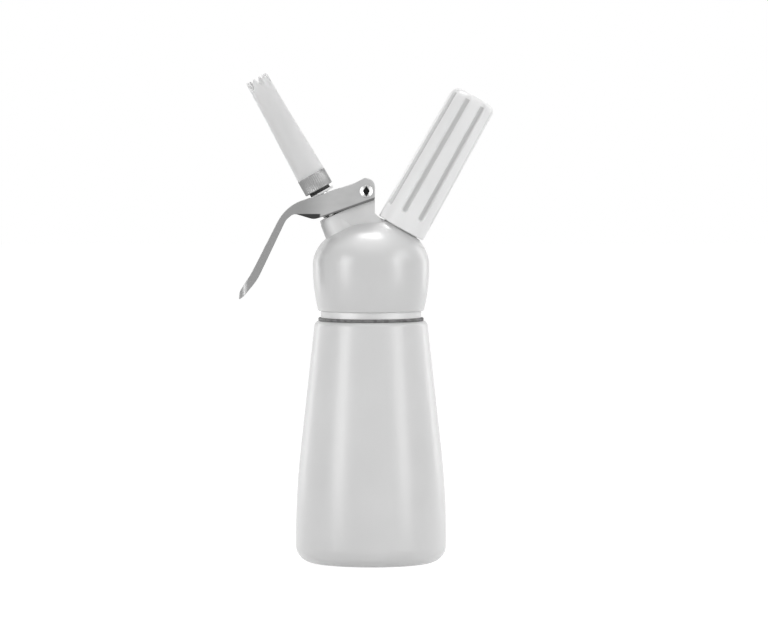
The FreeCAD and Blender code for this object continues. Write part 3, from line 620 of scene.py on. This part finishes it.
def fluted_holder():
    """Charger holder: a tapering sleeve with a round top. Each flute is where a round cutter, centred
    a little outside the skin, bites in: r = skin + rise - sqrt(cutter^2 - x^2), started by a ball."""
    rim, top, foot, crown = HOLDER_RIM, HOLDER_TOP, HOLDER_FOOT, HOLDER_CROWN
    flutes, cutter, rise, first = 8, 2.0, 0.45, 8.5
    thread, bore, ceiling = 12.05, 9.3, 114.35
    taper = (foot - crown) / (top - rim)
    skin = curve_through([(thread, rim), (foot, rim, 0.6), (crown, top, 5.0), (0.05, top)], 6.0)
    straight = np.linspace(rim + 0.7, rim + 16, 60)
    tall = np.linspace(rim + 16, top - 5.2, 24)[1:]
    side_rows = np.concatenate([straight, tall])
    corner = int(np.argmax(skin[:, 1] > rim + 1))
    rows = np.concatenate([skin[:corner], np.stack([foot - taper * (side_rows - rim), side_rows], axis=-1),
                           skin[corner:]])
    half_pitch = math.pi / flutes
    edge = 1.04 * math.asin(0.98 * cutter / foot)
    bite_part = edge * np.sin(np.linspace(-math.pi / 2, math.pi / 2, 17))
    land = np.linspace(edge, 2 * half_pitch - edge, 9)[1:-1]
    sector = np.concatenate([bite_part, land])
    turn = np.concatenate([sector + 2 * half_pitch * number for number in range(flutes)])
    away = np.tile(np.minimum(np.abs(sector), 2 * half_pitch - np.abs(sector)), flutes)
    radius, height = rows[:, :1], rows[:, 1:]
    line = foot - taper * (height - rim)
    offset = line * np.sin(away)
    under = np.clip(rim + first + cutter - height, 0, None)
    reach = cutter ** 2 - offset ** 2 - under ** 2
    bite = line * np.cos(away) + rise - np.sqrt(np.clip(reach, 0, None))
    cut = reach > 0
    depth = np.where(cut, radius - bite, -0.4)
    soft = 0.12
    shaped = radius - soft * np.log1p(np.exp(np.clip(depth / soft, -30, 30)))
    shaped = np.where(radius > thread + 0.05, shaped, np.minimum(radius, np.where(cut, bite, radius)))
    shaped = np.clip(shaped, 0.05, radius)
    angle = turn + math.radians(-90 - 15)
    hollow = np.array([(0.0, top), (0.0, ceiling), (bore, ceiling), (bore, INSERT_TOP), (thread, INSERT_TOP)])
    grid = np.concatenate([spun(shaped, height, angle), spun(hollow[:, :1], hollow[:, 1:], angle)])
    return surface("fluted_holder", leaned(grid, GAS), SLOT_OF["charger_holder"], "holder",
                   ["charger_holder"], crease=40)


def knurled_collar():
    """Collar whose side has fine upright ridges, r = radius - depth * triangle wave, that stop short
    of both edges."""
    low, high, radius, socket = COLLAR_LOW, COLLAR_TOP, 8.5, 7.4
    ridges, depth = 46, 0.32
    outline = curve_through([(STEM_BORE, low), (radius, low, 0.5), (radius, high, 0.25), (socket, high),
                             (socket, COLLAR_FLOOR), (STEM_BORE, COLLAR_FLOOR)], 15)
    rows = np.array([low + 0.7, low + 1.0, high - 0.8, high - 0.5])
    place = int(np.argmax((outline[:, 0] > radius - 0.01) & (outline[:, 1] > low + 5)))
    upright = np.stack([np.full(len(rows), radius), rows], axis=-1)
    outline = np.concatenate([outline[:place], upright, outline[place:]])
    angle = full_turn(ridges * 4)
    wave = np.abs(np.mod(angle * ridges / (2 * math.pi), 1) * 2 - 1)
    side = (outline[:, 0] > radius - 0.01) & (outline[:, 1] > low + 0.9) & (outline[:, 1] < high - 0.7)
    shaped = outline[:, :1] - depth * side[:, None] * wave
    grid = leaned(spun(shaped, outline[:, 1:], angle), VALVE)
    return surface("knurled_collar", grid, SLOT_OF["nozzle_collar"], "valve", ["nozzle_collar"], crease=60)


def toothed_tip():
    """Nozzle tube: outer and inner skins meet at a rim at top - deep * dip, where dip is largest on
    the floor of a notch and falls evenly to 0 at its sides. Radii are lines between the levels."""
    low, base, waist, top = COLLAR_FLOOR, COLLAR_TOP, 115.0, 132.5
    foot_radius, foot_bore, middle_radius = 7.35, 6.05, 6.0
    notches, deep, half_wide, floor_half, level_z = 6, 6.0, 2.75, 0.55, top - 9.0
    angle = full_turn(notches * 40)
    nearest = np.mod(angle * notches / (2 * math.pi) + 0.5, 1) - 0.5
    offset = np.abs(nearest) * 2 * math.pi / notches * middle_radius
    dip = np.clip((half_wide - np.maximum(offset, floor_half)) / (half_wide - 0.4), 0, 1)
    rim = top - deep * dip
    blend = np.concatenate([np.linspace(0, 0.5, 5), np.linspace(0.5, 1, 10)[1:]])[:, None]
    level = level_z + (rim - level_z) * blend
    below = np.linspace(base, level_z, 36)[:-1, None] + 0 * angle
    tall = np.concatenate([below, level])
    outer_r = np.interp(tall, [base, waist, top], [8.45, 6.85, 6.6])
    inner_r = np.interp(tall, [base, base + 2, waist, top], [foot_bore, 6.15, 5.55, 5.3])
    round_off = 0.18 * (blend > 0.97)
    outer_r[-len(blend):] -= round_off
    inner_r[-len(blend):] += round_off
    foot = np.array([[low], [base]])
    aim = angle + math.radians(-90 + 15)
    grid = np.concatenate([
        spun(foot_radius, foot, aim), spun(outer_r, tall, aim),
        spun(inner_r[::-1], tall[::-1], aim), spun(foot_bore, foot[::-1], aim)])
    return surface("toothed_tip", leaned(grid, VALVE), SLOT_OF["nozzle_tip"], "valve", ["nozzle_tip"],
                   crease=50)


def coil_spring():
    """Wire circle carried along a helix: centre = (R cos t, R sin t, low + pitch t / 2 pi)."""
    wire, radius, turns = 0.55, 5.35, 4.5
    low, high = SPRING_FLOOR + 0.6, FLANGE_LOW - 0.6
    pitch = (high - low) / turns
    turn = np.linspace(0, 2 * math.pi * turns, int(turns * 48))
    out = np.stack([np.cos(turn), np.sin(turn), 0 * turn], axis=-1)
    slope = pitch / (2 * math.pi * radius)
    heading = np.stack([-np.sin(turn), np.cos(turn), 0 * turn + slope], axis=-1) / math.hypot(1, slope)
    side = np.cross(heading, out)
    centre = radius * out + np.stack([0 * turn, 0 * turn, low + pitch * turn / (2 * math.pi)], axis=-1)
    around = full_turn(16)
    size = np.full(len(turn), wire)
    size[[0, -1]] = 0.0
    ring = out[:, None] * np.cos(around)[:, None] + side[:, None] * np.sin(around)[:, None]
    grid = centre[:, None] + ring * size[:, None, None]
    spring = surface("coil_spring", leaned(grid, VALVE), SLOT_OF["valve_spring"], "head",
                     ["valve_spring"], closed=False, crease=60)
    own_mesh(spring)
    return spring


def round_pieces():
    """Rings, washers and bulb: plain turned forms with softened edges."""
    ring_top, gasket_top = SHOULDER_Z + 1.7, NECK_TOP + 2.0
    turned("shoulder_seal", [
        (25.2, SHOULDER_Z), (30.0, SHOULDER_Z, 0.6), (30.0, ring_top, 0.6), (25.2, ring_top)],
        UPRIGHT, "shoulder_ring", 160, 20)
    turned("mouth_gasket", [
        (21.7, NECK_TOP, 0.3), (25.8, NECK_TOP, 0.3), (25.8, gasket_top, 0.3), (21.7, gasket_top, 0.3)],
        UPRIGHT, "head_gasket", 128, 30)
    for name, node, radius, low, high in (
            ("seat_washer", "nozzle_seat_washer", 7.7, SEAT_LOW, GASKET_LOW),
            ("collar_gasket", "nozzle_gasket", 6.2, GASKET_LOW, COLLAR_LOW)):
        turned(name, [(STEM_BORE, low), (radius, low, 0.3), (radius, high, 0.3), (STEM_BORE, high)],
               VALVE, node, 96, 20)
    flange_top, hub_top = FLANGE_LOW + 1.3, FLANGE_LOW + 1.65
    turned("push_flange", [
        (STEM_BORE, FLANGE_LOW), (6.5, FLANGE_LOW, 0.3), (6.5, flange_top, 0.3), (5.2, flange_top, 0.15),
        (5.0, hub_top, 0.1), (STEM_BORE, hub_top)], VALVE, "stem_flange", 96, 30)
    turned("charger_bulb", [
        (1.3, 44.35), (4.3, 44.35, 0.6), (4.3, 52.35, 1.5), (9.0, 61.35, 6.0), (9.0, 109.85, 7.5),
        (0, 109.85), (0, 108.25), (7.4, 108.25, 5.9), (7.4, 62.15, 4.4), (2.7, 52.35, 0.5), (2.7, 45.15),
        (1.3, 45.15)], GAS, "gas_charger", 96, 8)


def rivet():
    """Lever pin with a dished and hollow end on each side, turned about Z and laid along Y."""
    shaft, head, dish, bore, cheek, face, blind = 2.5, 3.7, 3.1, 1.7, 10.05, 11.05, 6.0
    end = [(shaft, cheek), (head, cheek), (head, face, 0.3), (dish, face, 0.1), (bore, cheek + 0.25),
           (bore, blind), (0, blind)]
    outline = curve_through([(r, -z, *more) for r, z, *more in reversed(end)] + end, 20)
    laid = spun(outline[:, :1], outline[:, 1:], full_turn(64))[..., [0, 2, 1]]
    grid = laid + np.array([PIVOT[0], 0, PIVOT[1]])
    surface("hollow_rivet", grid, SLOT_OF["lever_pin"], "head", ["lever_pin"], closed=False)


def camera():
    made = bpy.data.cameras.new("camera")
    made.sensor_width = 36.0
    made.lens = made.sensor_width * VIEW_DISTANCE / VIEW_WIDTH
    made.clip_end = 20.0
    eye = bpy.data.objects.new("camera", made)
    rise = math.radians(VIEW_RISE)
    away = Vector((0, -math.cos(rise), math.sin(rise))) * VIEW_DISTANCE
    eye.location = Vector(AIM) + away
    eye.rotation_euler = (-away).to_track_quat("-Z", "Y").to_euler()
    bpy.context.scene.collection.objects.link(eye)
    bpy.context.scene.camera = eye


def panel(name, azimuth, rise, distance, width, height, power):
    """Soft box that faces the dispenser. Azimuth 0 is behind the camera and 90 is to its right."""
    lamp = bpy.data.lights.new(name, "AREA")
    lamp.shape = "RECTANGLE"
    lamp.size, lamp.size_y = width, height
    lamp.energy = power
    box = bpy.data.objects.new(name, lamp)
    turn, lift = math.radians(azimuth), math.radians(rise)
    aim = Vector((0, 0, 0.14))
    out = Vector((math.sin(turn) * math.cos(lift), -math.cos(turn) * math.cos(lift), math.sin(lift)))
    box.location = aim + out * distance
    box.rotation_euler = (-out).to_track_quat("-Z", "Y").to_euler()
    bpy.context.scene.collection.objects.link(box)


# Name, azimuth and rise in degrees, distance, width and height in metres, and watts
LAMPS = (
    ("left_strip", -52, 10, 1.1, 0.40, 0.9, 5.2),
    ("right_strip", 54, 10, 1.1, 0.36, 0.9, 3.9),
    ("left_rim", -132, 8, 1.2, 0.30, 0.9, 1.5),
    ("right_rim", 132, 8, 1.2, 0.30, 0.9, 1.5),
    ("right_wash", 74, 34, 1.1, 0.50, 0.50, 1.6),
    ("top_wash", 0, 82, 1.5, 1.40, 1.40, 5.0),
    ("top_box", 180, 76, 1.0, 0.40, 0.24, 2.8),
)


def studio():
    """Plain pale room: white for the camera and for reflections, moderate for the light itself."""
    white, light, shown = (1, 1, 1, 1), 0.20, 1.0
    room = Paint("studio", world=True)
    bpy.context.scene.world = room.owner
    lit = room.node("ShaderNodeBackground", None, {"Color": white, "Strength": light})
    bright = room.node("ShaderNodeBackground", None, {"Color": white, "Strength": shown})
    choice = room.node("ShaderNodeMixShader", None, {0: room.seen(), 1: lit, 2: bright})
    room.close(choice, "ShaderNodeOutputWorld")
    for lamp in LAMPS:
        panel(*lamp)


def floor():
    """Pale floor: takes the soft shadow, and reads as white to the camera."""
    half_size, glow_share, glow_power = 6.0, 0.76, 1.27
    mesh = bpy.data.meshes.new("floor")
    corners = np.array([(-1, -1, 0), (1, -1, 0), (1, 1, 0), (-1, 1, 0)]) * half_size
    mesh.from_pydata(corners.tolist(), [], [(0, 1, 2, 3)])
    ground = bpy.data.objects.new("floor", mesh)
    bpy.context.scene.collection.objects.link(ground)
    paint = Paint("floor")
    tone = paint.mix(paint.noise(3.0, 2.0), (0.86, 0.86, 0.86, 1), (0.88, 0.88, 0.88, 1))
    matt = paint.node("ShaderNodeBsdfDiffuse", None, {"Color": tone})
    glow = paint.node("ShaderNodeEmission", None, {"Color": (1, 1, 1, 1), "Strength": glow_power})
    share = paint.seen() * glow_share
    mesh.materials.append(paint.close(
        paint.node("ShaderNodeMixShader", None, {0: share, 1: matt, 2: glow})))


def build():
    """Finish every CAD piece, then make the surfaces that stand for one or are added to it."""
    for node, piece in frame["nodes"].items():
        piece.data.materials.clear()
        piece.data.materials.append(FINISH[SLOT_OF[node]])
    bottle_body()
    screw_thread("neck_thread", NECK_RADIUS, height=1.05, pitch=3.5, turns=2.6, low=140.8,
                 axis=UPRIGHT, node="bottle")
    screw_thread("boss_thread", BOSS_RADIUS, height=0.3, pitch=2.0, turns=5.0, low=40.5,
                 axis=GAS, node="head_core")
    dome_cover()
    holder_seat()
    fluted_holder()
    knurled_collar()
    toothed_tip()
    coil_spring()
    round_pieces()
    dressed("core_casting", "head_core", 0.2)
    dressed("valve_block", "valve_housing", 0.4, reshape=fuller_block)
    dressed("squeeze_lever", "lever", 0.35, reshape=deeper_cheeks)
    rivet()
    dressed("stem_tube", "valve_stem", 0.0)


bpy.context.scene.view_settings.view_transform = "Standard"
build()
floor()
studio()
camera()
